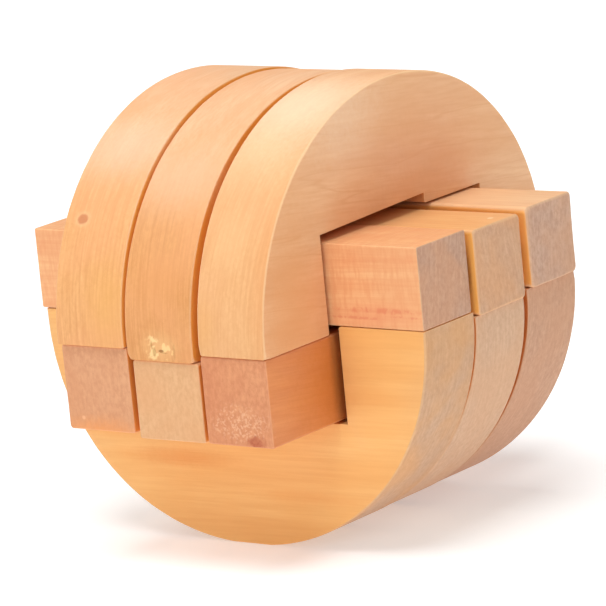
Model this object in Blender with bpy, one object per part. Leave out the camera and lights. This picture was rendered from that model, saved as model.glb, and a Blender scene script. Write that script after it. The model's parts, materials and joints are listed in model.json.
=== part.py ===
"""Wooden burr puzzle: two crossed half-cylinders of three plates each, keyed by six square bars.

Metres, +Z up, the flat rest facets of the lower plates at Z = 0.
The upper plates run front to back (along Y), the lower plates run left to right (along X).
"""
import math

import bmesh
import bpy
from mathutils import Matrix, Vector

MM = 0.001

# Driving sizes, in millimetres.  Heights are measured from the seam between the two halves.
SEAM_HEIGHT = 28.10

UPPER_HALF_WIDTH = 30.50
LOWER_HALF_WIDTH = 29.20
REST_HALF_WIDTH = 3.00
CURVE_STEPS = 40

WINDOW_FRONT = -17.40
WINDOW_BACK = 17.00
WINDOW_TOP_FRONT = 11.90
WINDOW_TOP_STEP = 12.50
WINDOW_STEP_AT = 4.80
WINDOW_TOP_BACK = 11.20
NOTCH_LEFT = -16.90
NOTCH_RIGHT = 16.50
NOTCH_FLOOR = -11.75

PLATE_EASE = 0.32
CORNER_EASE = 0.45

# Hidden sliding dovetail between each plate and its own bar.
TAIL_ROOT = 1.70
TAIL_TIP = 2.80
TAIL_DEPTH = 3.40
TAIL_PLAY = 0.30
TAIL_STOP = 24.60
TAIL_END = 29.30

# The discs are sanded by hand, a little out of round: a fullness of 2 is a true ellipse, and
# more than 2 leaves the shoulder between the arm end and the crown fuller.
# Upper plates: name, left face, right face, height of the arm ends, rise, then the fullness
# of the back shoulder and of the front shoulder.
UPPER_PLATES = (
    ("upper_plate_left", -16.30, -5.95, -0.10, 28.32, 2.03, 2.05),
    ("upper_plate_middle", -5.50, 4.65, -1.40, 28.05, 2.03, 2.03),
    ("upper_plate_right", 5.60, 15.60, -0.35, 28.22, 2.05, 2.03),
)
# Lower plates: name, front face, back face, height of the arm ends, then the fullness of the
# left shoulder and of the right shoulder.
LOWER_PLATES = (
    ("lower_plate_front", -16.75, -6.20, 0.36, 2.10, 2.00),
    ("lower_plate_middle", -5.80, 4.85, -0.30, 2.05, 1.97),
    ("lower_plate_rear", 5.65, 16.45, 0.50, 2.00, 1.94),
)
# Upper bars: name, front side, back side, bottom, top, left end, right end, edge rounding.
UPPER_BARS = (
    ("upper_bar_front", -16.80, -6.55, 0.68, 10.82, -29.75, 29.20, 0.30),
    ("upper_bar_middle", -5.65, 4.60, 0.00, 10.50, -29.50, 29.75, 0.60),
    ("upper_bar_rear", 5.85, 15.95, 0.82, 10.88, -29.90, 29.90, 0.60),
)
# Lower bars: name, left side, right side, bottom, top, front end, back end, edge rounding.
LOWER_BARS = (
    ("lower_bar_left", -15.95, -5.75, -10.95, -0.42, -30.20, 30.00, 0.50),
    ("lower_bar_middle", -4.95, 5.10, -11.45, -1.72, -30.25, 30.30, 0.40),
    ("lower_bar_right", 5.65, 15.50, -11.40, -0.67, -30.40, 30.10, 0.40),
)

WOODS = {
    "upper_plate_left": (0.78, 0.58, 0.38),
    "upper_plate_middle": (0.80, 0.57, 0.37),
    "upper_plate_right": (0.77, 0.55, 0.35),
    "lower_plate_front": (0.78, 0.54, 0.30),
    "lower_plate_middle": (0.76, 0.56, 0.36),
    "lower_plate_rear": (0.72, 0.50, 0.34),
    "upper_bar_front": (0.82, 0.52, 0.34),
    "upper_bar_middle": (0.80, 0.56, 0.34),
    "upper_bar_rear": (0.80, 0.57, 0.38),
    "lower_bar_left": (0.76, 0.50, 0.34),
    "lower_bar_middle": (0.80, 0.57, 0.40),
    "lower_bar_right": (0.74, 0.46, 0.30),
}


def clear_scene():
    for old in list(bpy.data.objects):
        bpy.data.objects.remove(old, do_unlink=True)


def wood(name):
    material = bpy.data.materials.new(name + "_wood")
    material.use_nodes = True
    shader = material.node_tree.nodes["Principled BSDF"]
    shader.inputs["Base Color"].default_value = WOODS[name] + (1.0,)
    shader.inputs["Roughness"].default_value = 0.55
    shader.inputs["Metallic"].default_value = 0.0
    material.diffuse_color = WOODS[name] + (1.0,)
    return material


def add_object(name, mesh_builder, at):
    """Turn a bmesh drawn in millimetres into an object standing at a point."""
    mesh_builder.normal_update()
    bmesh.ops.scale(mesh_builder, vec=Vector((MM, MM, MM)), verts=mesh_builder.verts)
    mesh = bpy.data.meshes.new(name)
    mesh_builder.to_mesh(mesh)
    mesh_builder.free()
    thing = bpy.data.objects.new(name, mesh)
    thing.location = Vector(at) * MM
    bpy.context.scene.collection.objects.link(thing)
    return thing


def smooth_rounds(thing):
    """Smooth shading along the curved skin, crisp where faces meet at a real edge."""
    for face in thing.data.polygons:
        face.use_smooth = True
    thing.data.set_sharp_from_angle(angle=math.radians(20))


def fillet(points, corner, radius, steps=2):
    """Points of a small round that replaces one corner of an outline."""
    here = Vector(points[corner])
    before = Vector(points[corner - 1])
    after = Vector(points[(corner + 1) % len(points)])
    into = (before - here).normalized()
    out = (after - here).normalized()
    opening = into.angle(out)
    reach = radius / math.tan(opening / 2.0)
    centre = here + (into + out).normalized() * (radius / math.sin(opening / 2.0))
    start = here + into * reach - centre
    end = here + out * reach - centre
    rounded = []
    for step in range(steps + 1):
        share = step / steps
        arm = (start * (1.0 - share) + end * share).normalized() * radius
        rounded.append(tuple(centre + arm))
    return rounded


def eased_outline(points, rounds):
    """Outline with the corners listed in rounds {index: radius} replaced by fillets."""
    result = []
    for index, point in enumerate(points):
        if index in rounds:
            result.extend(fillet(points, index, rounds[index]))
        else:
            result.append(point)
    return result


def inset(points, distance):
    """Move every side of an anticlockwise outline inward by the same distance."""
    moved = []
    count = len(points)
    for index in range(count):
        before = Vector(points[index - 1])
        here = Vector(points[index])
        after = Vector(points[(index + 1) % count])
        one = (here - before).normalized()
        two = (after - here).normalized()
        left_one = Vector((-one.y, one.x))
        left_two = Vector((-two.y, two.x))
        middle = (left_one + left_two).normalized()
        moved.append(tuple(here + middle * (distance / middle.dot(left_one))))
    return moved


def eased_plate(outline, thickness, ease):
    """Plate drawn in its own X-Y plane, thick along Z, with both rims rounded."""
    half = thickness / 2.0
    levels = []
    for turn in (0.0, 45.0, 90.0):
        angle = math.radians(turn)
        levels.append((ease * (1.0 - math.sin(angle)), half - ease * (1.0 - math.cos(angle))))
    rings = [(inward, -height) for inward, height in levels]
    rings += [(inward, height) for inward, height in reversed(levels)]
    plate = bmesh.new()
    drawn = []
    for inward, height in rings:
        shape = inset(outline, inward) if inward > 1e-9 else outline
        drawn.append([plate.verts.new((x, y, height)) for x, y in shape])
    count = len(outline)
    for lower, upper in zip(drawn, drawn[1:]):
        for index in range(count):
            after = (index + 1) % count
            plate.faces.new((lower[index], lower[after], upper[after], upper[index]))
    plate.faces.new(list(reversed(drawn[0])))
    plate.faces.new(drawn[-1])
    return plate


def shoulder(angle, fullness):
    """Cosine and sine of a curve between an ellipse and a slightly fuller or flatter one."""
    power = 2.0 / fullness
    cosine, sine = math.cos(angle), math.sin(angle)
    return math.copysign(abs(cosine) ** power, cosine), abs(sine) ** power


def upper_outline(arm_end, rise, back_fullness, front_fullness):
    """Half disc, curved side up, with the stepped window; anticlockwise in (along, height)."""
    arc = []
    for step in range(CURVE_STEPS + 1):
        angle = math.pi * step / CURVE_STEPS
        across, up = shoulder(angle, back_fullness if step * 2 < CURVE_STEPS
                              else front_fullness)
        arc.append((UPPER_HALF_WIDTH * across, rise * up))
    points = [(UPPER_HALF_WIDTH, arm_end)]
    points += arc if arm_end < -0.5 else arc[1:-1]
    points += [
        (-UPPER_HALF_WIDTH, arm_end),
        (WINDOW_FRONT, arm_end),
        (WINDOW_FRONT, WINDOW_TOP_FRONT),
        (WINDOW_STEP_AT, WINDOW_TOP_STEP),
        (WINDOW_STEP_AT, WINDOW_TOP_BACK),
        (WINDOW_BACK, WINDOW_TOP_BACK),
        (WINDOW_BACK, arm_end),
    ]
    count = len(points)
    rounds = dict.fromkeys((0, count - 7, count - 6, count - 1), CORNER_EASE)
    return eased_outline(points, rounds)


def lower_outline(arm_end, left_fullness, right_fullness):
    """Half disc, curved side down, with the bar notch and a small sanded rest flat."""
    points = [(-LOWER_HALF_WIDTH, arm_end)]
    half_steps = CURVE_STEPS // 2
    for side, fullness in ((-1, left_fullness), (1, right_fullness)):
        rest_angle = math.acos((REST_HALF_WIDTH / LOWER_HALF_WIDTH) ** (fullness / 2.0))
        drop = SEAM_HEIGHT / shoulder(rest_angle, fullness)[1]
        steps = range(half_steps + 1) if side < 0 else range(half_steps, -1, -1)
        for step in steps:
            if step == 0 and abs(arm_end) < 1.0:
                continue
            across, down = shoulder(rest_angle * step / half_steps, fullness)
            points.append((side * LOWER_HALF_WIDTH * across, -drop * down))
    points += [
        (LOWER_HALF_WIDTH, arm_end),
        (NOTCH_RIGHT, arm_end),
        (NOTCH_RIGHT, NOTCH_FLOOR),
        (NOTCH_LEFT, NOTCH_FLOOR),
        (NOTCH_LEFT, arm_end),
    ]
    count = len(points)
    rounds = dict.fromkeys((0, count - 5, count - 4, count - 1), CORNER_EASE)
    return eased_outline(points, rounds)


def eased_bar(length, width, height, ease):
    """Square bar along X with every edge rounded."""
    bar = bmesh.new()
    bmesh.ops.create_cube(bar, size=1.0)
    bmesh.ops.scale(bar, vec=Vector((length, width, height)), verts=bar.verts)
    bmesh.ops.bevel(bar, geom=bar.edges[:], offset=ease, offset_type="OFFSET", segments=2,
                    profile=0.5, affect="EDGES", clamp_overlap=True)
    return bar


def dovetail(start, end, arm_end, up, play):
    """Dovetail prism along X: narrow at the arm end, widening in the direction up (+1 or -1)."""
    depth = TAIL_DEPTH + play
    narrow = TAIL_ROOT + play
    wide = narrow + (TAIL_TIP - TAIL_ROOT) / TAIL_DEPTH * depth
    section = (
        (-narrow, arm_end - up * 1.5),
        (narrow, arm_end - up * 1.5),
        (narrow, arm_end),
        (wide, arm_end + up * depth),
        (-wide, arm_end + up * depth),
        (-narrow, arm_end),
    )
    tail = bmesh.new()
    first = [tail.verts.new((start, y, z)) for y, z in section]
    last = [tail.verts.new((end, y, z)) for y, z in section]
    for index in range(len(section)):
        after = (index + 1) % len(section)
        tail.faces.new((first[index], first[after], last[after], last[index]))
    tail.faces.new(first)
    tail.faces.new(last)
    bmesh.ops.recalc_face_normals(tail, faces=tail.faces[:])
    return tail


def join_tool(target, tool, operation):
    """Cut or add a helper solid; the helper itself stays out of sight."""
    step = target.modifiers.new(operation.lower() + "_" + tool.name, "BOOLEAN")
    step.operation = operation
    step.solver = "EXACT"
    step.object = tool
    tool.hide_render = True
    tool.display_type = "WIRE"


def turn(mesh_builder, degrees_about_x, degrees_about_z):
    spin = Matrix.Rotation(math.radians(degrees_about_z), 4, "Z")
    tip = Matrix.Rotation(math.radians(degrees_about_x), 4, "X")
    bmesh.ops.transform(mesh_builder, matrix=spin @ tip, verts=mesh_builder.verts)


def make_upper_plate(name, left, right, arm_end, rise, back_fullness, front_fullness):
    """Upper plate with a ridge under each arm that hangs into the groove of its lower bar."""
    at = ((left + right) / 2.0, 0.0, SEAM_HEIGHT)
    outline = upper_outline(arm_end, rise, back_fullness, front_fullness)
    body = eased_plate(outline, right - left, PLATE_EASE)
    turn(body, 90.0, 90.0)
    plate = add_object(name, body, at)
    smooth_rounds(plate)
    plate.data.materials.append(wood(name))
    runs = (
        ("front", -TAIL_STOP, WINDOW_FRONT - 0.5),
        ("back", WINDOW_BACK + 0.5, TAIL_END),
    )
    for side, start, end in runs:
        ridge = dovetail(start, end, arm_end, -1.0, 0.0)
        turn(ridge, 0.0, 90.0)
        join_tool(plate, add_object(name + "_ridge_" + side, ridge, at), "UNION")


def make_lower_plate(name, front, back, arm_end, left_fullness, right_fullness):
    """Lower plate with a ridge on each arm that stands into the groove of its upper bar."""
    at = (0.0, (front + back) / 2.0, SEAM_HEIGHT)
    outline = lower_outline(arm_end, left_fullness, right_fullness)
    body = eased_plate(outline, back - front, PLATE_EASE)
    turn(body, 90.0, 0.0)
    plate = add_object(name, body, at)
    smooth_rounds(plate)
    plate.data.materials.append(wood(name))
    runs = (
        ("left", -TAIL_END + 1.0, NOTCH_LEFT - 0.5),
        ("right", NOTCH_RIGHT + 0.5, TAIL_STOP),
    )
    for side, start, end in runs:
        ridge = dovetail(start, end, arm_end, 1.0, 0.0)
        join_tool(plate, add_object(name + "_ridge_" + side, ridge, at), "UNION")


def make_upper_bar(name, front, back, bottom, top, left, right, ease, groove_y, arm_end):
    """Bar along X; its groove is open at the left end and stops short of the right end."""
    at = ((left + right) / 2.0, (front + back) / 2.0, SEAM_HEIGHT + (bottom + top) / 2.0)
    bar = add_object(name, eased_bar(right - left, back - front, top - bottom, ease), at)
    smooth_rounds(bar)
    bar.data.materials.append(wood(name))
    groove = dovetail(left - 1.0, TAIL_STOP + TAIL_PLAY, arm_end, 1.0, TAIL_PLAY)
    spot = (0.0, groove_y, SEAM_HEIGHT)
    join_tool(bar, add_object(name + "_groove", groove, spot), "DIFFERENCE")


def make_lower_bar(name, left, right, bottom, top, front, back, ease, groove_x, arm_end):
    """Bar along Y; its groove is open at the back end and stops short of the front end."""
    at = ((left + right) / 2.0, (front + back) / 2.0, SEAM_HEIGHT + (bottom + top) / 2.0)
    body = eased_bar(back - front, right - left, top - bottom, ease)
    turn(body, 0.0, 90.0)
    bar = add_object(name, body, at)
    smooth_rounds(bar)
    bar.data.materials.append(wood(name))
    groove = dovetail(-TAIL_STOP - TAIL_PLAY, back + 1.0, arm_end, -1.0, TAIL_PLAY)
    turn(groove, 0.0, 90.0)
    spot = (groove_x, 0.0, SEAM_HEIGHT)
    join_tool(bar, add_object(name + "_groove", groove, spot), "DIFFERENCE")


clear_scene()
for plate_sizes in UPPER_PLATES:
    make_upper_plate(*plate_sizes)
for plate_sizes in LOWER_PLATES:
    make_lower_plate(*plate_sizes)
# Each groove follows the middle of the plate whose ridges run in it.
for bar_sizes, plate_sizes in zip(UPPER_BARS, LOWER_PLATES):
    make_upper_bar(*bar_sizes, (plate_sizes[1] + plate_sizes[2]) / 2.0, plate_sizes[3])
for bar_sizes, plate_sizes in zip(LOWER_BARS, UPPER_PLATES):
    make_lower_bar(*bar_sizes, (plate_sizes[1] + plate_sizes[2]) / 2.0, plate_sizes[3])
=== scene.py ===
"""Looks of the wooden burr puzzle: twelve sawn and sanded pieces of pale hardwood.

Lengths in this script are millimetres until a mesh is made; the scene itself is in metres, +Z up.
"""

import json
import math

import bmesh
import bpy
import numpy as np
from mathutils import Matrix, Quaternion, Vector, noise


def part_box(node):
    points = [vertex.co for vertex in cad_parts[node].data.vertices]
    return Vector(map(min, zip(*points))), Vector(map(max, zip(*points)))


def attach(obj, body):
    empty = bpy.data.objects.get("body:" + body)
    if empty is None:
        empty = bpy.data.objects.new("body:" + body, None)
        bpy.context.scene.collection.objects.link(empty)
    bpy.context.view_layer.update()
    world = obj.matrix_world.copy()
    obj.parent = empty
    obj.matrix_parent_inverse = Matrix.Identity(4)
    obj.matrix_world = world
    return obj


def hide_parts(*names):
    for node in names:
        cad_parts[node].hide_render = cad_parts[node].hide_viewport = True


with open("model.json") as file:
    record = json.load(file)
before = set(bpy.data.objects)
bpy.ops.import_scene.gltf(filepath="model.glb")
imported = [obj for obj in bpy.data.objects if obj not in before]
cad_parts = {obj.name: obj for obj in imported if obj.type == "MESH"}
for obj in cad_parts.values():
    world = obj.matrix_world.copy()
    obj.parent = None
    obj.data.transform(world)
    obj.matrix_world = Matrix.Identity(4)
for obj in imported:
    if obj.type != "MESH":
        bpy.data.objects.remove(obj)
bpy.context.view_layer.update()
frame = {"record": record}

MM = 0.001

# The puzzle's own sizes, as the CAD has them; heights are measured from the seam.
SEAM_HEIGHT = 28.10
UPPER_HALF_WIDTH = 30.50
LOWER_HALF_WIDTH = 29.20
REST_HALF_WIDTH = 3.00
WINDOW_FRONT = -17.40
WINDOW_BACK = 17.00
WINDOW_TOP_FRONT = 11.90
WINDOW_TOP_STEP = 12.50
WINDOW_STEP_AT = 4.80
WINDOW_TOP_BACK = 11.20
NOTCH_LEFT = -16.90
NOTCH_RIGHT = 16.50
NOTCH_FLOOR = -11.75
TAIL_ROOT = 1.70
TAIL_TIP = 2.80
TAIL_DEPTH = 3.40
TAIL_PLAY = 0.30
TAIL_STOP = 24.60
TAIL_END = 29.30
LOWER_TAIL_END = -28.30

# How full the sanded shoulders are, back then front, or left then right: 2 is an ellipse.
SHOULDERS = {
    "upper_plate_left": (2.03, 2.05),
    "upper_plate_middle": (2.03, 2.03),
    "upper_plate_right": (2.05, 2.03),
    "lower_plate_front": (2.10, 2.00),
    "lower_plate_middle": (2.05, 1.97),
    "lower_plate_rear": (2.00, 1.94),
}

# How far the sanding has rounded each kind of edge.
SKIN_EASE = 0.28
WINDOW_EASE = 0.09
FOOT_EASE = {
    "upper_plate_left": 0.30,
    "upper_plate_middle": 0.75,
    "upper_plate_right": 0.50,
    "lower_plate_front": 0.25,
    "lower_plate_middle": 0.45,
    "lower_plate_rear": 0.45,
}
RIM_TURNS = (0.0, 22.5, 45.0, 67.5, 90.0)
RIM_LIP = 0.06
CUT_CORNER = 0.3
TOOTH_CORNER = 0.2

# Sides round half a disc, the room left between a foot's corner and the first point of the
# curve, and the longest straight side left whole.
SKIN_STEPS = 140
CORNER_CLEAR = 0.35
LONGEST_SIDE = 1.2

# Sides that meet at more than this many degrees keep a crisp edge.
SHARP_ANGLE = 34

# How far a dovetail runs into the wood it is part of, and past the end it is open at.
RIDGE_BURIED = 0.5
GROOVE_PAST_END = 1.0
TAIL_PAST_FOOT = 1.5

# Rounding of a bar's long edges, then of its end edges; points round each of its corners and
# along each of its sides, and rings along its length.
BAR_CORNER_STEPS = 5
BAR_SIDE_SHARES = (0.01, 0.12, 0.25, 0.37, 0.5, 0.63, 0.75, 0.88, 0.99)
BAR_RINGS = 22
BAR_EASE = {
    "upper_bar_front": (0.25, 0.18),
    "upper_bar_middle": (0.60, 0.45),
    "upper_bar_rear": (0.60, 0.45),
    "lower_bar_left": (0.35, 0.22),
    "lower_bar_middle": (0.35, 0.22),
    "lower_bar_right": (0.30, 0.20),
}

# A plate and its bar press together more closely than two loose parts.
SEAM_CLOSE = 0.12

ACROSS_Y = "plate standing along Y, or bar lying along X"
ACROSS_X = "plate standing along X, or bar lying along Y"


# ---------------------------------------------------------------------------------------
# Shaping


def place_point(lie, across, up, depth):
    """Point of a piece from its own outline directions to the puzzle's X, Y, Z."""
    if lie == ACROSS_Y:
        return (depth, across, up)
    return (across, -depth, up)


def unit_rows(rows):
    """Rows scaled to length one."""
    return rows / np.linalg.norm(rows, axis=1)[:, None]


def inset(points, distance):
    """Move each side of an anticlockwise outline inward; distance may differ by point."""
    one = unit_rows(points - np.roll(points, 1, axis=0))
    two = unit_rows(np.roll(points, -1, axis=0) - points)
    normal = np.stack([-one[:, 1], one[:, 0]], axis=1)
    middle = unit_rows(normal + np.stack([-two[:, 1], two[:, 0]], axis=1))
    reach = distance / np.maximum((middle * normal).sum(axis=1), 0.3)
    return points + middle * reach[:, None]


def rounded_corner(before, here, after, radius, steps=5):
    """Points of a round that replaces the corner at here."""
    before, here, after = (Vector(p[:2]) for p in (before, here, after))
    into = (before - here).normalized()
    out = (after - here).normalized()
    opening = into.angle(out)
    reach = radius / math.tan(opening / 2.0)
    centre = here + (into + out).normalized() * (radius / math.sin(opening / 2.0))
    start = here + into * reach - centre
    end = here + out * reach - centre
    points = []
    for step in range(steps + 1):
        share = step / steps
        points.append(centre + (start * (1.0 - share) + end * share).normalized() * radius)
    return points


def close_profile(corners):
    """Outline rows (across, up, ease) from corners (across, up, ease, round)."""
    rows = []
    for index, corner in enumerate(corners):
        if corner[3]:
            after = corners[(index + 1) % len(corners)]
            for point in rounded_corner(corners[index - 1], corner, after, corner[3]):
                rows.append((point.x, point.y, corner[2]))
        else:
            rows.append(corner[:3])
    return split_long_sides(np.array(rows))


def split_long_sides(rows):
    """Add points along straight sides so that an edge can be rounded unevenly."""
    finer = []
    for here, after in zip(rows, np.roll(rows, -1, axis=0)):
        pieces = max(1, math.ceil(np.linalg.norm(after[:2] - here[:2]) / LONGEST_SIDE))
        ease = min(here[2], after[2])
        finer.append(here)
        for step in range(1, pieces):
            spot = here + (after - here) * (step / pieces)
            finer.append(np.array([spot[0], spot[1], ease]))
    return np.array(finer)


def shoulder(turn, fullness):
    """Cosine and sine of a curve between an ellipse and a slightly fuller or flatter one."""
    power = 2.0 / fullness
    across, up = math.cos(turn), math.sin(turn)
    return math.copysign(abs(across) ** power, across), abs(up) ** power


def upper_profile(foot, rise, fullness, ease):
    """Half disc, curved side up, with the stepped window cut up from the bottom."""
    corners = [(UPPER_HALF_WIDTH, foot, ease, 0.0)]
    for turn in np.linspace(0.0, math.pi, SKIN_STEPS + 1):
        across, up = shoulder(turn, fullness[0 if turn < math.pi / 2.0 else 1])
        if rise * up - foot > ease + CORNER_CLEAR:
            corners.append((UPPER_HALF_WIDTH * across, rise * up, SKIN_EASE, 0.0))
    corners += [
        (-UPPER_HALF_WIDTH, foot, ease, 0.0),
        (WINDOW_FRONT, foot, WINDOW_EASE, CUT_CORNER),
        (WINDOW_FRONT, WINDOW_TOP_FRONT, WINDOW_EASE, 0.0),
        (WINDOW_STEP_AT, WINDOW_TOP_STEP, WINDOW_EASE, 0.0),
        (WINDOW_STEP_AT, WINDOW_TOP_BACK, WINDOW_EASE, TOOTH_CORNER),
        (WINDOW_BACK, WINDOW_TOP_BACK, WINDOW_EASE, 0.0),
        (WINDOW_BACK, foot, WINDOW_EASE, CUT_CORNER),
    ]
    return close_profile(corners)


def lower_profile(foot, drop, fullness, ease):
    """Half disc, curved side down, with the bar notch and the small sanded rest flat."""
    corners = [(-LOWER_HALF_WIDTH, foot, ease, 0.0)]
    for side, full in zip((-1.0, 1.0), fullness):
        steepest = math.acos((REST_HALF_WIDTH / LOWER_HALF_WIDTH) ** (full / 2.0))
        reach = drop / shoulder(steepest, full)[1]
        turns = np.linspace(0.0, steepest, SKIN_STEPS // 2 + 1)
        for turn in turns if side < 0.0 else turns[::-1]:
            across, down = shoulder(turn, full)
            if reach * down + foot > ease + CORNER_CLEAR:
                corners.append((side * LOWER_HALF_WIDTH * across, -reach * down, SKIN_EASE, 0.0))
    corners += [
        (LOWER_HALF_WIDTH, foot, ease, 0.0),
        (NOTCH_RIGHT, foot, WINDOW_EASE, CUT_CORNER),
        (NOTCH_RIGHT, NOTCH_FLOOR, WINDOW_EASE, 0.0),
        (NOTCH_LEFT, NOTCH_FLOOR, WINDOW_EASE, 0.0),
        (NOTCH_LEFT, foot, WINDOW_EASE, CUT_CORNER),
    ]
    return close_profile(corners)


def uneven(rows, seed):
    """How much the hand that sanded it varied the rounding at each point of a rim."""
    shares = []
    for across, up in rows[:, :2]:
        slow = noise.noise(Vector((across * 0.11, up * 0.11, seed)))
        quick = noise.noise(Vector((across * 0.55, up * 0.55, seed + 7.3)))
        shares.append(0.85 + 0.45 * slow + 0.20 * quick)
    return np.clip(np.array(shares), 0.40, 1.05)


def plate_rings(rows, thickness, seed):
    """Rings of a plate from one face to the other: points, depth, and the share of the rim made
    lighter, partly rubbed by sanding and partly a painted highlight.
    """
    rings = []
    for side in (-1.0, 1.0):
        ease = rows[:, 2] * uneven(rows, seed + side)
        half = []
        for turn in RIM_TURNS:
            angle = math.radians(turn)
            depth = thickness / 2.0 - ease * (1.0 - math.cos(angle))
            points = inset(rows[:, :2], ease * (1.0 - math.sin(angle)))
            half.append((points, side * depth, np.full(len(rows), math.sin(2.0 * angle))))
        lip = thickness / 2.0 - ease - RIM_LIP
        half.append((rows[:, :2], side * lip, np.zeros(len(rows))))
        rings.append(half)
    return rings[0] + rings[1][::-1]


def skin_mesh(name, rings, lie):
    """Closed mesh over a list of rings, flat faces at both ends, with an attribute for the rims
    made lighter, partly rubbed by sanding and partly a painted highlight.
    """
    count = len(rings[0][0])
    points = []
    wear_and_sheen = []
    for outline, depth, worn_and_sheen in rings:
        depths = np.broadcast_to(depth, (count,))
        for (across, up), deep in zip(outline, depths):
            points.append(place_point(lie, across * MM, up * MM, deep * MM))
        wear_and_sheen.extend(worn_and_sheen)
    faces = [tuple(reversed(range(count)))]
    for ring in range(len(rings) - 1):
        low = ring * count
        for index in range(count):
            after = (index + 1) % count
            faces.append((low + index, low + after, low + count + after, low + count + index))
    top = (len(rings) - 1) * count
    faces.append(tuple(range(top, top + count)))
    mesh = bpy.data.meshes.new(name)
    mesh.from_pydata(points, [], faces)
    mesh.attributes.new("wear_and_sheen", "FLOAT", "POINT").data.foreach_set(
        "value", np.clip(np.array(wear_and_sheen, np.float32), 0.0, 1.0))
    mesh.polygons.foreach_set("use_smooth", [len(face) == 4 for face in faces])
    return mesh


def dovetail_mesh(name, lie, start, end, foot, up, play):
    """Dovetail prism; start and end are along its run, narrow at the foot."""
    depth = TAIL_DEPTH + play
    narrow = TAIL_ROOT + play
    wide = narrow + (TAIL_TIP - TAIL_ROOT) / TAIL_DEPTH * depth
    section = np.array([
        (-narrow, foot - up * TAIL_PAST_FOOT),
        (narrow, foot - up * TAIL_PAST_FOOT),
        (narrow, foot),
        (wide, foot + up * depth),
        (-wide, foot + up * depth),
        (-narrow, foot),
    ])
    if up < 0:
        section = section[::-1]
    if lie == ACROSS_X:
        start, end = -end, -start
    rings = [(section, start, np.zeros(6)), (section, end, np.zeros(6))]
    return skin_mesh(name, rings, lie)


def tool_object(mesh, at):
    """Cutter or ridge placed for a boolean step."""
    tool = bpy.data.objects.new(mesh.name, mesh)
    tool.location = at
    bpy.context.scene.collection.objects.link(tool)
    return tool


def finish_shape(piece, tools, operation):
    """Cut or add the dovetails, keep the result as the piece's own mesh, drop the tools."""
    for tool in tools:
        step = piece.modifiers.new("dovetail", "BOOLEAN")
        step.operation = operation
        step.solver = "EXACT"
        step.object = tool
    seen = piece.evaluated_get(bpy.context.evaluated_depsgraph_get())
    mesh = bpy.data.meshes.new_from_object(seen)
    piece.modifiers.clear()
    rough = piece.data
    piece.data = mesh
    mesh.name = piece.name
    bpy.data.meshes.remove(rough)
    for tool in tools:
        bpy.data.objects.remove(tool, do_unlink=True)
    mesh.set_sharp_from_angle(angle=math.radians(SHARP_ANGLE))


def stand_in_for(node, mesh, at):
    """New piece at a point, named after the CAD node it stands for."""
    piece = bpy.data.objects.new(node + "_wood", mesh)
    piece.location = at
    bpy.context.scene.collection.objects.link(piece)
    return piece


def body_that_holds(node):
    for body, nodes in frame["record"]["behaviour"]["bodies"].items():
        if node in nodes:
            return body
    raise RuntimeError("no body holds " + node)


def middle_of(node):
    low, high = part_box(node)
    return (low + high) / 2.0


def make_plate(node, lie, hangs):
    """Plate whose two arms carry the dovetail ridges."""
    low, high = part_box(node)
    tall = abs((high if hangs else low).z / MM - SEAM_HEIGHT)
    seam = Vector(((low.x + high.x) / 2.0, (low.y + high.y) / 2.0, SEAM_HEIGHT * MM))
    if hangs:
        seam.y = 0.0
        foot = (low.z - seam.z) / MM + TAIL_DEPTH - SEAM_CLOSE
        thickness = (high.x - low.x) / MM
        runs = ((-TAIL_STOP, WINDOW_FRONT - RIDGE_BURIED),
                (WINDOW_BACK + RIDGE_BURIED, TAIL_END))
    else:
        seam.x = 0.0
        foot = (high.z - seam.z) / MM - TAIL_DEPTH + SEAM_CLOSE
        thickness = (high.y - low.y) / MM
        runs = ((LOWER_TAIL_END, NOTCH_LEFT - RIDGE_BURIED),
                (NOTCH_RIGHT + RIDGE_BURIED, TAIL_STOP))
    seed = 3.0 + 11.0 * (seam.x + seam.y) / MM
    profile = (upper_profile if hangs else lower_profile)(
        foot, tall, SHOULDERS[node], FOOT_EASE[node])
    rings = plate_rings(profile, thickness, seed)
    piece = stand_in_for(node, skin_mesh(node, rings, lie), seam)
    other = ACROSS_X if lie == ACROSS_Y else ACROSS_Y
    tools = []
    for start, end in runs:
        ridge = dovetail_mesh("ridge", other, start, end, foot, -1.0 if hangs else 1.0, 0.0)
        tools.append(tool_object(ridge, seam))
    finish_shape(piece, tools, "UNION")
    return piece


def bar_section(width, height, radii):
    """Rounded square section, anticlockwise, with the same number of points every time."""
    rows = []
    wear_and_sheen = []
    signs = ((1.0, -1.0), (1.0, 1.0), (-1.0, 1.0), (-1.0, -1.0))
    for corner, (side, lift) in enumerate(signs):
        radius = radii[corner]
        centre = Vector((side * (width / 2.0 - radius), lift * (height / 2.0 - radius)))
        first = math.atan2(lift, side) - math.pi / 4.0
        for step in range(BAR_CORNER_STEPS + 1):
            turn = first + math.pi / 2.0 * step / BAR_CORNER_STEPS
            rows.append(centre + Vector((math.cos(turn), math.sin(turn))) * radius)
            wear_and_sheen.append(math.sin(math.pi * step / BAR_CORNER_STEPS))
        here = rows[-1].copy()
        next_side, next_lift = signs[(corner + 1) % 4]
        next_radius = radii[(corner + 1) % 4]
        along = Vector((next_side - side, next_lift - lift)) / 2.0
        reach = (height if along.y else width) - radius - next_radius
        for share in BAR_SIDE_SHARES:
            rows.append(here + along * (reach * share))
            wear_and_sheen.append(0.0)
    return np.array([tuple(p) for p in rows]), np.array(wear_and_sheen)


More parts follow.
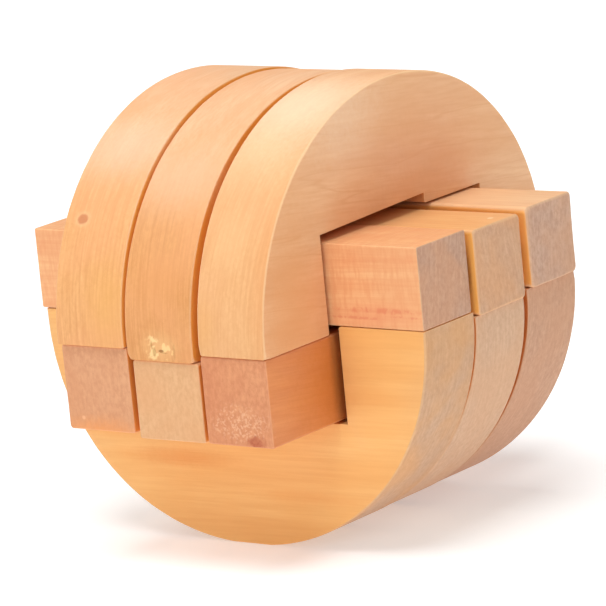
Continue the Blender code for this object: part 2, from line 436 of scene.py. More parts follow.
def bar_rings(width, height, length, ease, end_ease, seed):
    """Rings along a bar; the rounding of its long edges wanders as a hand-sanded one does."""

    def section_at(depth):
        radii = []
        for corner in range(4):
            slow = noise.noise(Vector((depth * 0.08, corner * 3.7, seed)))
            quick = noise.noise(Vector((depth * 0.4, corner * 5.1, seed + 4.0)))
            radii.append(ease * min(1.6, max(0.5, 1.0 + 0.5 * slow + 0.2 * quick)))
        return bar_section(width, height, radii)

    rings = []
    for side in (-1.0, 1.0):
        points, worn_and_sheen = section_at(side * length / 2.0)
        rows = np.column_stack([points, np.full(len(points), ease)])
        soft = end_ease * uneven(rows, seed + side)
        for turn in RIM_TURNS:
            angle = math.radians(turn)
            depth = length / 2.0 - soft * (1.0 - math.cos(angle))
            ring = shrink_section(points, width, height, soft * (1.0 - math.sin(angle)))
            both = np.maximum(worn_and_sheen * math.sin(angle), math.sin(2.0 * angle))
            rings.append((ring, side * depth, both))
        if side < 0:
            first = rings
            rings = []
    middle = []
    reach = length / 2.0 - 2.0 * ease
    for depth in np.linspace(-reach, reach, BAR_RINGS):
        points, worn_and_sheen = section_at(depth)
        middle.append((points, depth, worn_and_sheen))
    return first + middle + rings[::-1]


def shrink_section(points, width, height, distance):
    """Pull a convex section towards its middle by about the same distance all round."""
    across = 1.0 - 2.0 * distance / width
    up = 1.0 - 2.0 * distance / height
    return np.stack([points[:, 0] * across, points[:, 1] * up], axis=1)


def make_bar(node, plate, lie, foot, up):
    """Square bar with the stopped dovetail groove that its plate's ridges run in."""
    low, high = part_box(node)
    size = (high - low) / MM
    if lie == ACROSS_Y:
        width, length = size.y, size.x
        run = (low.x / MM - GROOVE_PAST_END, TAIL_STOP + TAIL_PLAY)
    else:
        width, length = size.x, size.y
        run = (-TAIL_STOP - TAIL_PLAY, high.y / MM + GROOVE_PAST_END)
    size.z += SEAM_CLOSE
    centre = middle_of(node) - Vector((0.0, 0.0, up * SEAM_CLOSE / 2.0 * MM))
    seed = 5.0 + 9.0 * (centre.x + centre.y + centre.z) / MM
    rings = bar_rings(width, size.z, length, *BAR_EASE[node], seed)
    piece = stand_in_for(node, skin_mesh(node, rings, lie), centre)
    follows = middle_of(plate)
    spot = Vector((0.0, follows.y, SEAM_HEIGHT * MM))
    if lie == ACROSS_X:
        spot = Vector((follows.x, 0.0, SEAM_HEIGHT * MM))
    groove = dovetail_mesh("groove", lie, run[0], run[1], foot, up, TAIL_PLAY)
    finish_shape(piece, [tool_object(groove, spot)], "DIFFERENCE")
    return piece


# ---------------------------------------------------------------------------------------
# Wood finish


class Wiring:
    """Adds and joins the nodes of one shader tree."""

    def __init__(self, tree):
        self.tree = tree

    def add(self, kind, inputs=None, **options):
        node = self.tree.nodes.new(kind)
        node.location = (-1800.0 + 180.0 * (len(self.tree.nodes) % 11),
                         600.0 - 160.0 * (len(self.tree.nodes) // 11))
        for option, value in options.items():
            setattr(node, option, value)
        for socket, value in (inputs or {}).items():
            self.feed(node.inputs[socket], value)
        return node

    def feed(self, socket, value):
        if isinstance(value, bpy.types.NodeSocket):
            self.tree.links.new(value, socket)
        else:
            socket.default_value = value

    def sum(self, operation, first, second=0.0):
        return self.add("ShaderNodeMath", {0: first, 1: second}, operation=operation).outputs[0]

    def span(self, value, low, high, to_low=0.0, to_high=1.0):
        """Smooth step of a value from low..high to to_low..to_high."""
        node = self.add("ShaderNodeMapRange", {"Value": value, "From Min": low,
                        "From Max": high, "To Min": to_low, "To Max": to_high},
                        interpolation_type="SMOOTHSTEP")
        return node.outputs["Result"]

    def stretched(self, place, scale, detail, roughness=0.55, distortion=0.0):
        """Noise drawn out by a different scale in each direction."""
        drawn = self.add("ShaderNodeMapping", {"Vector": place, "Scale": scale})
        node = self.add("ShaderNodeTexNoise", {"Vector": drawn.outputs[0], "Scale": 1.0,
                        "Detail": detail, "Roughness": roughness,
                        "Distortion": distortion})
        return node.outputs["Fac"]

    def blend(self, share, first, second):
        node = self.add("ShaderNodeMix", {"Factor": share, 6: first, 7: second},
                        data_type="RGBA")
        return node.outputs[2]


def new_group(name, inputs, outputs):
    group = bpy.data.node_groups.new(name, "ShaderNodeTree")
    for socket, kind, value in inputs:
        made = group.interface.new_socket(socket, in_out="INPUT", socket_type=kind)
        if value is not None:
            made.default_value = value
    for socket in outputs:
        group.interface.new_socket(socket, in_out="OUTPUT", socket_type="NodeSocketFloat")
    wiring = Wiring(group)
    return group, wiring, wiring.add("NodeGroupInput").outputs, wiring.add("NodeGroupOutput")


def fibre_group():
    """Marks of sawn and sanded wood in millimetres, with the grain along X.

    Fibres run along the grain; Rays are the fine lines that show where a curve cuts across
    it; Ticks are the short flecks across a quarter-sawn side; Speckle is the cut ends of the
    fibres; Clouds and Bands are slow changes of colour; Veins are thin darker lines.
    """
    group, w, given, result = new_group(
        "sawn_fibres", (("Place", "NodeSocketVector", None),),
        ("Fibres", "Rays", "Ticks", "Speckle", "Clouds", "Bands", "Veins"))
    place = given["Place"]
    for output, scale, detail, rough, low, high in (
            ("Fibres", (0.07, 2.3, 2.3), 4.0, 0.62, 0.32, 0.72),
            ("Rays", (0.05, 3.0, 0.12), 3.0, 0.62, 0.36, 0.66),
            ("Ticks", (2.4, 0.30, 0.45), 2.0, 0.60, 0.36, 0.68),
            ("Speckle", (1.7, 1.9, 1.3), 4.0, 0.66, 0.34, 0.70),
            ("Clouds", (0.05, 0.12, 0.12), 2.5, 0.50, 0.32, 0.68),
            ("Bands", (0.016, 0.33, 0.33), 2.0, 0.50, 0.34, 0.68)):
        drawn = w.stretched(place, scale, detail, rough, 0.3 if output == "Clouds" else 0.0)
        w.feed(result.inputs[output], w.span(drawn, low, high))
    wavy = w.stretched(place, (0.014, 0.20, 0.20), 3.0, 0.5)
    from_level = w.sum("ABSOLUTE", w.sum("SUBTRACT", w.sum("FRACT",
                       w.sum("MULTIPLY", wavy, 5.0)), 0.5))
    w.feed(result.inputs["Veins"], w.span(from_level, 0.0, 0.09, 1.0, 0.0))
    return group


def growth_group():
    """Yearly rings round a far pith, with wandering, in millimetres, grain along X."""
    group, w, given, result = new_group(
        "growth_rings",
        (("Place", "NodeSocketVector", None), ("Ring Width", "NodeSocketFloat", 2.4)),
        ("Rings",))
    drift = w.stretched(given["Place"], (0.012, 0.05, 0.05), 2.0, 0.5)
    apart = w.add("ShaderNodeSeparateXYZ", {0: given["Place"]}).outputs
    flat = w.add("ShaderNodeCombineXYZ", {1: apart[1], 2: apart[2]})
    reach = w.add("ShaderNodeVectorMath", {0: flat.outputs[0]}, operation="LENGTH")
    swung = w.sum("ADD", reach.outputs["Value"], w.sum("MULTIPLY", drift, 10.0))
    year = w.sum("FRACT", w.sum("DIVIDE", swung, given["Ring Width"]))
    late = w.sum("MULTIPLY", w.span(year, 0.2, 0.9), w.span(year, 0.9, 1.0, 1.0, 0.0))
    w.feed(result.inputs["Rings"], late)
    return group


def end_grain_group():
    """How squarely a surface cuts across the grain: 0 along it, 1 across it."""
    group, w, given, result = new_group(
        "end_grain_share",
        (("Facing", "NodeSocketVector", None), ("Starts", "NodeSocketFloat", 0.2),
         ("Full", "NodeSocketFloat", 0.8)),
        ("Share",))
    apart = w.add("ShaderNodeSeparateXYZ", {0: given["Facing"]}).outputs
    across = w.sum("ABSOLUTE", apart[0])
    ranged = w.add("ShaderNodeMapRange", {"Value": across, "From Min": given["Starts"],
                                          "From Max": given["Full"]},
                   interpolation_type="SMOOTHSTEP")
    w.feed(result.inputs["Share"], ranged.outputs["Result"])
    return group


def mark_group():
    """Small ragged patch round a centre, in millimetres: 1 inside, 0 outside."""
    group, w, given, result = new_group(
        "small_mark",
        (("Place", "NodeSocketVector", None), ("Centre", "NodeSocketVector", None),
         ("Half Size", "NodeSocketVector", None), ("Ragged", "NodeSocketFloat", 0.5),
         ("Broken", "NodeSocketFloat", 0.0), ("Flaky", "NodeSocketFloat", 0.0),
         ("Soft", "NodeSocketFloat", 0.35)),
        ("Mask",))
    away = w.add("ShaderNodeVectorMath", {0: given["Place"], 1: given["Centre"]},
                 operation="SUBTRACT")
    share = w.add("ShaderNodeVectorMath", {0: away.outputs[0], 1: given["Half Size"]},
                  operation="DIVIDE")
    reach = w.add("ShaderNodeVectorMath", {0: share.outputs[0]}, operation="LENGTH")
    torn = w.sum("SUBTRACT", w.stretched(given["Place"], (1.5, 1.5, 1.5), 3.0, 0.6), 0.5)
    edge = w.sum("ADD", reach.outputs["Value"],
                 w.sum("MULTIPLY", w.sum("MULTIPLY", torn, 4.0), given["Ragged"]))
    inside = w.span(edge, w.sum("SUBTRACT", 1.05, given["Soft"]), 1.05, 1.0, 0.0)
    fine = w.span(w.stretched(given["Place"], (2.9, 2.9, 2.9), 2.0, 0.5), 0.50, 0.60)
    coarse = w.span(w.stretched(given["Place"], (1.1, 1.1, 1.1), 1.0, 0.4, 0.8), 0.46, 0.54)
    flakes = w.add("ShaderNodeMix", {"Factor": given["Flaky"], 2: fine, 3: coarse})
    flecks = flakes.outputs[0]
    kept = w.add("ShaderNodeMix", {"Factor": given["Broken"], 2: 1.0, 3: flecks})
    w.feed(result.inputs["Mask"], w.sum("MULTIPLY", inside, kept.outputs[0]))
    return group


def inner_face_group():
    """Faces that look along a direction, or both ways along it: the ones inside the gaps."""
    group, w, given, result = new_group(
        "inner_face",
        (("Facing", "NodeSocketVector", None), ("Towards", "NodeSocketVector", None),
         ("Both Ways", "NodeSocketFloat", 0.0)),
        ("Mask",))
    along = w.add("ShaderNodeVectorMath", {0: given["Facing"], 1: given["Towards"]},
                  operation="DOT_PRODUCT").outputs["Value"]
    either = w.add("ShaderNodeMix", {"Factor": given["Both Ways"], 2: along,
                                     3: w.sum("ABSOLUTE", along)})
    w.feed(result.inputs["Mask"], w.span(either.outputs[0], 0.80, 0.99))
    return group


def tone(red, green, blue):
    """Linear colour from the 0 to 255 numbers of a paint chart."""
    linear = []
    for value in (red, green, blue):
        share = value / 255.0
        linear.append(share / 12.92 if share <= 0.04045 else ((share + 0.055) / 1.055) ** 2.4)
    return (*linear, 1.0)


FIBRES = fibre_group()
GROWTH = growth_group()
END_GRAIN = end_grain_group()
MARK = mark_group()
INNER_FACE = inner_face_group()

# The kinds of small mark, by how ragged, broken, flaky and soft each one is.
# Some marks stand in for light: shade draws soft patches, among them painted highlights and
# painted shade; seam draws a narrower strip, here only painted shadow deep in the gaps; the round
# spot kind also draws one painted glint.
MARK_KINDS = {
    "shade": {"Ragged": 0.10, "Broken": 0.0, "Flaky": 0.0, "Soft": 1.0},
    "seam": {"Ragged": 0.06, "Broken": 0.0, "Flaky": 0.0, "Soft": 0.5},
    "knot_and_glint": {"Ragged": 0.10, "Broken": 0.0, "Flaky": 0.0, "Soft": 0.5},
    "crack": {"Ragged": 0.18, "Broken": 0.0, "Flaky": 0.0, "Soft": 0.6},
    "flakes": {"Ragged": 0.30, "Broken": 1.0, "Flaky": 1.0, "Soft": 0.4},
    "specks": {"Ragged": 0.25, "Broken": 1.0, "Flaky": 0.0, "Soft": 0.7},
    "stain": {"Ragged": 0.35, "Broken": 0.25, "Flaky": 0.0, "Soft": 0.6},
    "dashes": {"Ragged": 0.22, "Broken": 0.8, "Flaky": 1.0, "Soft": 0.8},
}

USUAL = dict(fibres=0.50, bands=0.40, rings=0.15, ticks=0.0, rays=0.45, speckle=0.75,
             clouds=0.45, veins=0.25, wear_and_sheen=0.25, starts=0.2, full=0.8, inner=0.85)


def wood(name, grain, shift, tilt, ring_width, side, end, cloud, worn_and_sheen, inside, marks=(),
         **shown):
    """Sanded bare wood.

    side and end are (light, dark) colours along and across the grain, cloud is the colour it
    drifts to in slow patches, worn is that of its rounded edges, lighter where sanding rubbed
    them and partly a painted highlight, and shown gives how plainly each mark shows.  inside is
    (direction, both ways, colour) of the faces deep in the gaps between pieces, whose colour is
    painted shade and a painted glow of light bounced in the gaps.  marks are (kind, centre, half
    size, colour, strength).
    """
    shown = {**USUAL, **shown}
    material = bpy.data.materials.new(name)
    material.use_nodes = True
    tree = material.node_tree
    tree.nodes.clear()
    w = Wiring(tree)
    output = w.add("ShaderNodeOutputMaterial")
    shader = w.add("ShaderNodeBsdfPrincipled", {"IOR": 1.45, "Specular IOR Level": 0.4})
    w.feed(output.inputs["Surface"], shader.outputs[0])

    spot = w.add("ShaderNodeTexCoord")
    turn = (math.radians(tilt[0]), math.radians(tilt[1]),
            math.radians(tilt[2]) + (0.0 if grain == "X" else -math.pi / 2.0))
    plain = w.add("ShaderNodeMapping", {"Vector": spot.outputs["Object"],
                                        "Scale": (1000.0,) * 3}).outputs[0]
    place = w.add("ShaderNodeMapping", {"Vector": plain, "Location": shift,
                                        "Rotation": turn}).outputs[0]
    facing = w.add("ShaderNodeMapping", {"Vector": spot.outputs["Normal"],
                                         "Rotation": turn}, vector_type="NORMAL").outputs[0]
    fibres = w.add("ShaderNodeGroup", {}, node_tree=FIBRES)
    rings = w.add("ShaderNodeGroup", {}, node_tree=GROWTH)
    across = w.add("ShaderNodeGroup", {}, node_tree=END_GRAIN)
    w.feed(fibres.inputs["Place"], place)
    w.feed(rings.inputs["Place"], place)
    w.feed(rings.inputs["Ring Width"], ring_width)
    w.feed(across.inputs["Facing"], facing)
    w.feed(across.inputs["Starts"], shown["starts"])
    w.feed(across.inputs["Full"], shown["full"])
    cut_across = across.outputs["Share"]

    def some(node, socket, amount):
        return w.sum("MULTIPLY", node.outputs[socket], amount)

    along = w.blend(some(fibres, "Fibres", shown["fibres"]), side[0], side[1])
    along = w.blend(some(fibres, "Bands", shown["bands"]), along, side[1])
    along = w.blend(some(fibres, "Ticks", shown["ticks"]), along, side[1])
    along = w.blend(some(rings, "Rings", shown["rings"]), along, side[1])
    along = w.blend(some(fibres, "Veins", shown["veins"]), along, side[1])
    ends = w.blend(some(fibres, "Rays", shown["rays"]), end[0], end[1])
    ends = w.blend(some(fibres, "Speckle", shown["speckle"]), ends, end[1])
    ends = w.blend(some(rings, "Rings", shown["rings"] * 0.6), ends, end[1])
    colour = w.blend(cut_across, along, ends)
    colour = w.blend(some(fibres, "Clouds", shown["clouds"]), colour, cloud)
    # Faces deep in the gaps take the inside colour, a painted shade and painted glow of bounced
    # light; they are also rougher.
    gap_shade_faces = w.add("ShaderNodeGroup", {}, node_tree=INNER_FACE)
    w.feed(gap_shade_faces.inputs["Facing"], spot.outputs["Normal"])
    w.feed(gap_shade_faces.inputs["Towards"], inside[0])
    w.feed(gap_shade_faces.inputs["Both Ways"], inside[1])
    colour = w.blend(some(gap_shade_faces, "Mask", shown["inner"]), colour, inside[2])
    for kind, centre, half_size, mark_colour, strength in marks:
        mark = w.add("ShaderNodeGroup", {}, node_tree=MARK)
        for socket, value in (("Place", plain), ("Centre", centre), ("Half Size", half_size),
                              *MARK_KINDS[kind].items()):
            w.feed(mark.inputs[socket], value)
        colour = w.blend(some(mark, "Mask", strength), colour, mark_colour)
    # Rounded rims are made lighter: partly rubbed by sanding, partly a painted highlight.
    wear_and_sheen = w.add("ShaderNodeAttribute", attribute_name="wear_and_sheen")
    colour = w.blend(some(wear_and_sheen, "Fac", shown["wear_and_sheen"]), colour, worn_and_sheen)
    w.feed(shader.inputs["Base Color"], colour)

    rough = w.span(fibres.outputs["Clouds"], 0.0, 1.0, 0.44, 0.58)
    rough = w.sum("ADD", rough, w.sum("MULTIPLY", cut_across, 0.12))
    rough = w.sum("ADD", rough, some(gap_shade_faces, "Mask", 0.3))
    w.feed(shader.inputs["Roughness"], rough)
    height = w.sum("SUBTRACT", some(fibres, "Fibres", 0.5), some(fibres, "Speckle", 0.35))
    height = w.sum("SUBTRACT", height, some(fibres, "Rays", 0.3))
    bump = w.add("ShaderNodeBump", {"Height": height, "Strength": 0.5, "Distance": 0.00005})
    w.feed(shader.inputs["Normal"], bump.outputs[0])
    return material


# ---------------------------------------------------------------------------------------
# The pieces

RIGHT = (1.0, 0.0, 0.0)
LEFT = (-1.0, 0.0, 0.0)
BACK = (0.0, 1.0, 0.0)
FRONT = (0.0, -1.0, 0.0)

# Each finish's inside colour goes on the faces deep in the gaps: painted shade and a painted glow
# of light bounced between the pieces.
FINISHES = {
    # On the three upper plates the side colour, which the tops of the curves and the flat faces
    # show, is lighter and pinker than the end colour: partly the grain, partly a painted sheen on
    # the tops.
    "upper_plate_left": dict(
        grain="Y", shift=(31.0, 44.0, -52.0), tilt=(4.0, 1.0, 2.0), ring_width=3.1,
        side=(tone(246, 200, 160), tone(228, 172, 126)),
        end=(tone(242, 182, 122), tone(222, 152, 92)), cloud=tone(240, 168, 118),
        worn_and_sheen=tone(248, 206, 158), inside=(RIGHT, 0.0, tone(248, 168, 60)),
        starts=0.3, full=0.98, rays=0.68, speckle=0.45,
        marks=(("knot_and_glint", (-2.48, -26.3, 14.7), (1.45, 2.0, 1.15), tone(250, 202, 150), 0.35),
               ("knot_and_glint", (-2.48, -26.3, 14.7), (0.95, 2.0, 0.70), tone(204, 124, 80), 0.8),
               # Light pinkish patch high on the curve: a painted sheen.
               ("shade", (0.0, -19.0, 22.3), (12.0, 7.0, 7.0), tone(250, 208, 182), 0.40),
               ("shade", (3.0, -30.0, 5.0), (5.0, 4.0, 9.0), tone(236, 174, 96), 0.45))),
    "upper_plate_middle": dict(
        grain="Y", shift=(110.0, -60.0, -47.0), tilt=(-3.0, 2.0, -2.0), ring_width=3.4,
        side=(tone(248, 200, 158), tone(230, 168, 122)),
        end=(tone(232, 166, 106), tone(212, 142, 82)), cloud=tone(238, 168, 116),
        worn_and_sheen=tone(248, 206, 156), inside=(RIGHT, 1.0, tone(246, 160, 48)),
        starts=0.3, full=0.98, rays=0.68, speckle=0.45,
        # The first patch, light and pinkish high on the curve, is a painted sheen.
        marks=(("shade", (0.0, -22.0, 19.3), (12.0, 7.0, 7.0), tone(248, 196, 160), 0.40),
               ("shade", (0.0, -29.5, 8.0), (8.0, 3.0, 5.0), tone(226, 154, 92), 0.35),
               ("shade", (0.2, -30.5, 0.2), (3.6, 1.5, 2.6), tone(242, 188, 128), 0.6),
               ("flakes", (-0.9, -30.5, 0.1), (1.2, 1.5, 1.6), tone(254, 214, 152), 0.85),
               ("flakes", (1.1, -30.5, 0.0), (1.3, 1.5, 1.2), tone(254, 208, 144), 0.85),
               ("crack", (0.35, -30.5, -0.2), (0.50, 1.5, 0.22), tone(150, 92, 36), 0.8),
               ("crack", (0.8, -30.5, -0.42), (0.55, 1.5, 0.14), tone(196, 128, 66), 0.6),
               ("crack", (-1.1, -30.5, 0.5), (0.20, 1.5, 0.7), tone(196, 136, 76), 0.7),
               ("crack", (-0.75, -30.5, -0.4), (0.32, 1.5, 0.7), tone(190, 142, 80), 0.6),
               ("crack", (2.3, -30.5, -0.2), (0.25, 1.5, 1.2), tone(208, 144, 86), 0.6))),
    "upper_plate_right": dict(
        grain="Y", shift=(-80.0, 41.0, -61.0), tilt=(6.0, -2.5, 4.0), ring_width=4.2,
        side=(tone(250, 202, 156), tone(230, 166, 118)),
        end=(tone(240, 186, 130), tone(224, 158, 102)), cloud=tone(234, 172, 122),
        worn_and_sheen=tone(252, 214, 166), inside=(LEFT, 0.0, tone(240, 150, 40)),
        starts=0.3, full=0.98, rays=0.60, speckle=0.45, bands=0.5, veins=0.5, wear_and_sheen=0.45,
        # The first two patches, light and high on the curve, are painted highlights: the top of
        # the curve lit brighter and a sheen below it; the third is a small lighter patch further
        # down.
        marks=(("shade", (-1.0, -10.5, 26.5), (12.0, 13.0, 11.0), tone(254, 224, 192), 0.62),
               ("shade", (-2.0, -19.0, 22.0), (9.0, 7.0, 7.0), tone(250, 206, 160), 0.35),
               ("shade", (-1.0, -27.0, 12.5), (3.4, 4.0, 7.0), tone(248, 206, 150), 0.22),
               ("shade", (-4.0, -30.0, 3.0), (2.5, 3.0, 5.0), tone(230, 166, 92), 0.3),
               ("shade", (5.0, -25.0, 5.0), (3.0, 11.0, 20.0), tone(230, 156, 98), 0.6),
               ("shade", (5.0, 3.0, 15.5), (3.0, 20.0, 9.0), tone(224, 148, 100), 0.45))),
    "lower_plate_front": dict(
        grain="X", shift=(50.0, 62.0, 49.0), tilt=(3.0, 1.2, -1.0), ring_width=5.0,
        side=(tone(250, 194, 122), tone(232, 160, 88)),
        end=(tone(216, 176, 142), tone(196, 150, 116)), cloud=tone(242, 172, 98),
        worn_and_sheen=tone(250, 202, 144), inside=(BACK, 0.0, tone(240, 156, 70)),
        bands=0.40, fibres=0.40, veins=0.06, clouds=0.35, starts=0.0, full=0.45,
        marks=(("shade", (-10.0, -5.3, -17.6), (13.0, 3.0, 1.7), tone(232, 148, 74), 0.6),
               ("shade", (-20.0, -5.3, -14.5), (10.0, 3.0, 1.5), tone(232, 150, 76), 0.5),
               ("shade", (10.0, -5.3, -21.5), (11.0, 3.0, 1.2), tone(236, 156, 82), 0.4))),
    "lower_plate_middle": dict(
        grain="X", shift=(-120.0, 35.0, 55.0), tilt=(-5.0, 1.0, 2.0), ring_width=3.6,
        side=(tone(240, 184, 130), tone(222, 158, 104)),
        end=(tone(226, 186, 152), tone(206, 160, 126)), cloud=tone(224, 174, 136),
        worn_and_sheen=tone(244, 202, 160), inside=(FRONT, 1.0, tone(220, 130, 52)),
        starts=0.0, full=0.45),
    "lower_plate_rear": dict(
        grain="X", shift=(210.0, -45.0, 58.0), tilt=(2.0, -1.5, 2.5), ring_width=3.4,
        side=(tone(230, 172, 126), tone(208, 144, 100)),
        end=(tone(214, 166, 134), tone(192, 140, 108)), cloud=tone(214, 162, 130),
        worn_and_sheen=tone(236, 192, 152), inside=(FRONT, 0.0, tone(206, 108, 34)),
        starts=0.0, full=0.45),
    "upper_bar_front": dict(
        grain="X", shift=(20.0, 22.0, -30.0), tilt=(10.0, 1.0, 1.0), ring_width=3.0,
        side=(tone(248, 194, 140), tone(234, 154, 106)),
        end=(tone(208, 168, 142), tone(182, 136, 112)), cloud=tone(232, 164, 116),
        worn_and_sheen=tone(250, 206, 156), inside=(BACK, 0.0, tone(190, 96, 44)),
        ticks=0.5, fibres=0.45, bands=0.3, clouds=0.3,
        marks=(("dashes", (23.5, -5.1, -2.9), (9.0, 1.0, 0.5), tone(226, 122, 84), 0.6),
               ("dashes", (20.5, -5.1, -3.9), (6.5, 1.0, 0.26), tone(224, 120, 82), 0.55),
               ("dashes", (27.0, -5.1, -3.6), (3.2, 1.0, 0.24), tone(226, 122, 86), 0.5),
               ("shade", (23.0, -5.1, -3.6), (9.0, 1.0, 2.2), tone(236, 150, 110), 0.4))),
    "upper_bar_middle": dict(
        grain="X", shift=(-50.0, -25.0, 28.0), tilt=(-8.0, 1.5, -1.0), ring_width=3.2,
        side=(tone(246, 188, 126), tone(230, 156, 96)),
        end=(tone(220, 178, 144), tone(194, 144, 112)), cloud=tone(230, 168, 118),
        worn_and_sheen=tone(250, 204, 148), inside=(FRONT, 1.0, tone(250, 178, 84)),
        # The seam mark here is a painted shadow: a dark strip on the front face deep in the gap
        # beside the front bar's end.
        marks=(("seam", (27.2, -5.3, 0.0), (1.9, 0.6, 5.3), tone(132, 56, 20), 0.60),
               # A cream spot on the top near the end, drawn with the round spot mark: a painted
               # glint.
               ("knot_and_glint", (27.6, 1.7, 5.2), (0.5, 0.45, 0.7), tone(255, 230, 190), 0.6),)),
    "upper_bar_rear": dict(
        grain="X", shift=(90.0, 30.0, 24.0), tilt=(4.0, -1.0, 1.0), ring_width=3.0,
        side=(tone(248, 202, 156), tone(232, 172, 124)),
        end=(tone(212, 174, 150), tone(184, 140, 116)), cloud=tone(226, 168, 126),
        worn_and_sheen=tone(250, 206, 156), inside=(FRONT, 0.0, tone(248, 172, 82)),
        # The seam mark here is a painted shadow: a dark strip on the front face deep in the gap
        # beside the middle bar's end.
        marks=(("seam", (27.2, -5.3, 0.0), (1.9, 0.6, 5.3), tone(132, 56, 20), 0.60),)),
    "lower_bar_left": dict(
        grain="Y", shift=(40.0, 28.0, 26.0), tilt=(12.0, 1.0, -1.0), ring_width=3.4,
        side=(tone(236, 168, 120), tone(214, 140, 94)),
        end=(tone(226, 166, 124), tone(204, 138, 98)), cloud=tone(216, 148, 106),
        worn_and_sheen=tone(244, 186, 146), inside=(RIGHT, 0.0, tone(240, 154, 66)), rings=0.05,
        rays=0.2, speckle=0.6,
        marks=(("shade", (0.0, -30.0, -5.8), (9.0, 3.0, 3.0), tone(244, 158, 90), 0.7),
               ("knot_and_glint", (-2.76, -30.0, -3.8), (0.32, 1.0, 0.32), tone(246, 190, 148), 0.55))),
    "lower_bar_middle": dict(
        grain="Y", shift=(-70.0, 33.0, -22.0), tilt=(-6.0, 1.0, 1.0), ring_width=3.6,
        side=(tone(240, 182, 132), tone(222, 154, 106)),
        end=(tone(232, 182, 134), tone(214, 156, 108)), cloud=tone(226, 164, 116),
        worn_and_sheen=tone(248, 200, 156), inside=(RIGHT, 1.0, tone(240, 154, 66)), rings=0.05,
        rays=0.2, speckle=0.6),
    "lower_bar_right": dict(
        grain="Y", shift=(130.0, -24.0, 31.0), tilt=(7.0, -1.0, 2.0), ring_width=3.2,
        side=(tone(238, 158, 100), tone(216, 128, 72)),
        end=(tone(228, 158, 112), tone(200, 122, 82)), cloud=tone(206, 126, 88),
        worn_and_sheen=tone(244, 180, 138), inside=(LEFT, 0.0, tone(236, 146, 56)), rings=0.05,
        rays=0.2, speckle=0.6,
        marks=(("specks", (0.1, -30.2, -2.7), (5.6, 1.5, 3.0), tone(244, 196, 160), 0.45),
               ("stain", (2.3, -30.2, -4.8), (1.7, 1.5, 0.9), tone(176, 76, 44), 0.8),
               # The last two patches are painted shade: the side darkens and turns a deeper
               # orange towards its inner end, where it meets the front lower plate.
               ("shade", (5.0, -15.0, 0.0), (3.0, 14.0, 16.0), tone(208, 120, 48), 0.85),
               ("seam", (5.0, -15.4, 0.0), (1.0, 2.5, 14.0), tone(150, 78, 34), 0.28))),
}

# Each plate with the bar it holds.
PAIRS = (
    ("upper_plate_left", "lower_bar_left"),
    ("upper_plate_middle", "lower_bar_middle"),
    ("upper_plate_right", "lower_bar_right"),
    ("lower_plate_front", "upper_bar_front"),
    ("lower_plate_middle", "upper_bar_middle"),
    ("lower_plate_rear", "upper_bar_rear"),
)


def dress(piece, node):
    """Give a piece its wood and tie it to its CAD node."""
    piece.data.materials.clear()
    piece.data.materials.append(wood(node + "_wood", **FINISHES[node]))
    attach(piece, body_that_holds(node))
    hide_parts(node)


def make_pair(plate, bar):
    """Plate and the bar that its ridges run in."""
    low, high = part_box(plate)
    if plate.startswith("upper"):
        foot = low.z / MM - SEAM_HEIGHT + TAIL_DEPTH
        dress(make_plate(plate, ACROSS_Y, True), plate)
        dress(make_bar(bar, plate, ACROSS_X, foot, -1.0), bar)
    else:
        foot = high.z / MM - SEAM_HEIGHT - TAIL_DEPTH
        dress(make_plate(plate, ACROSS_X, False), plate)
        dress(make_bar(bar, plate, ACROSS_Y, foot, 1.0), bar)


for plate_node, bar_node in PAIRS:
    make_pair(plate_node, bar_node)


# ---------------------------------------------------------------------------------------
# Studio

SUBJECT = Vector((-0.0006, -0.0008, 0.0270))
CAMERA_AZIMUTH = 37.29
CAMERA_ELEVATION = 12.06
CAMERA_DISTANCE = 0.574
CAMERA_ROLL = -5.59
CAMERA_LENS = 271.0

# Lamps: name, azimuth, elevation, distance, width, watts, colour.
LAMPS = (
    ("overhead_softbox", 15.0, 78.0, 1.8, 1.2, 22.5, (0.965, 0.98, 0.965)),
    ("front_softbox", 4.0, 13.0, 2.2, 1.4, 9.0, (0.965, 0.98, 0.955)),
    ("left_window", -75.0, 50.0, 2.4, 1.5, 12.0, (0.965, 0.98, 0.975)),
    ("right_softbox", 100.0, 38.0, 2.6, 1.5, 7.5, (0.965, 0.98, 0.975)),
)
FLOOR_REACH = 6.0
FLOOR_DROP = 0.00005


def towards(azimuth, elevation):
    """Direction from the subject to a camera or lamp; azimuth 0 is the front, -Y."""
    a, e = math.radians(azimuth), math.radians(elevation)
    return Vector((math.sin(a) * math.cos(e), -math.cos(a) * math.cos(e), math.sin(e)))


def make_camera():
    data = bpy.data.cameras.new("studio_camera")
    data.lens = CAMERA_LENS
    data.sensor_width = 36.0
    data.clip_start = 0.01
    camera = bpy.data.objects.new("studio_camera", data)
    back = towards(CAMERA_AZIMUTH, CAMERA_ELEVATION)
    camera.location = SUBJECT + back * CAMERA_DISTANCE
    look = (-back).to_track_quat("-Z", "Y").to_matrix().to_4x4()
    roll = Quaternion(Vector((0.0, 0.0, 1.0)), math.radians(CAMERA_ROLL))
    camera.rotation_mode = "QUATERNION"
    camera.rotation_quaternion = look.to_quaternion() @ roll
    bpy.context.scene.collection.objects.link(camera)
    bpy.context.scene.camera = camera


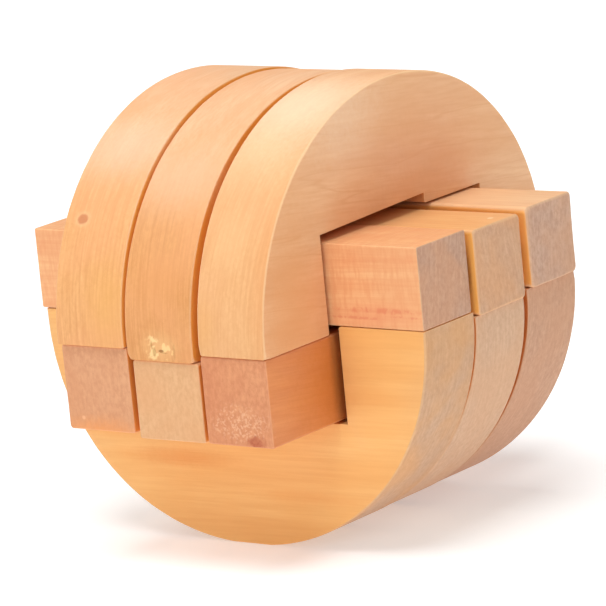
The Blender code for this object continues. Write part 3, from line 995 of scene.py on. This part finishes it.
def make_lamp(name, azimuth, elevation, distance, size, power, colour):
    data = bpy.data.lights.new(name, "AREA")
    data.shape = "DISK"
    data.size = size
    data.energy = power
    data.color = colour
    lamp = bpy.data.objects.new(name, data)
    away = towards(azimuth, elevation)
    lamp.location = SUBJECT + away * distance
    lamp.rotation_mode = "QUATERNION"
    lamp.rotation_quaternion = away.to_track_quat("Z", "Y")
    bpy.context.scene.collection.objects.link(lamp)


def make_floor():
    """Pale paper just under the rest flats; it glows a little, a painted light that keeps its
    shadow pale and lights the pieces from below.
    """
    mesh = bpy.data.meshes.new("floor")
    mesh.from_pydata([(x * FLOOR_REACH, y * FLOOR_REACH, 0.0)
                      for x, y in ((-1, -1), (1, -1), (1, 1), (-1, 1))], [], [(0, 1, 2, 3)])
    floor = bpy.data.objects.new("floor", mesh)
    floor.location.z = -FLOOR_DROP
    material = bpy.data.materials.new("pale_paper")
    material.use_nodes = True
    shader = material.node_tree.nodes["Principled BSDF"]
    shader.inputs["Base Color"].default_value = (0.80, 0.81, 0.82, 1.0)
    shader.inputs["Roughness"].default_value = 0.9
    # The paper's glow is painted light, not a lamp.
    shader.inputs["Emission Color"].default_value = (1.0, 1.0, 1.0, 1.0)
    shader.inputs["Emission Strength"].default_value = 0.34
    mesh.materials.append(material)
    bpy.context.scene.collection.objects.link(floor)


def make_surroundings():
    """Even pale room; what the camera sees past the floor is plain white."""
    world = bpy.data.worlds.new("studio")
    world.use_nodes = True
    w = Wiring(world.node_tree)
    world.node_tree.nodes.clear()
    output = w.add("ShaderNodeOutputWorld")
    room = w.add("ShaderNodeBackground", {"Color": (0.965, 0.98, 0.965, 1.0), "Strength": 0.34})
    white = w.add("ShaderNodeBackground", {"Color": (1.0, 1.0, 1.0, 1.0), "Strength": 1.0})
    path = w.add("ShaderNodeLightPath")
    either = w.add("ShaderNodeMixShader", {0: path.outputs["Is Camera Ray"],
                                           1: room.outputs[0], 2: white.outputs[0]})
    world.node_tree.links.new(either.outputs[0], output.inputs["Surface"])
    bpy.context.scene.world = world


make_camera()
make_floor()
make_surroundings()
for lamp_row in LAMPS:
    make_lamp(*lamp_row)
bpy.context.scene.view_settings.view_transform = "Standard"
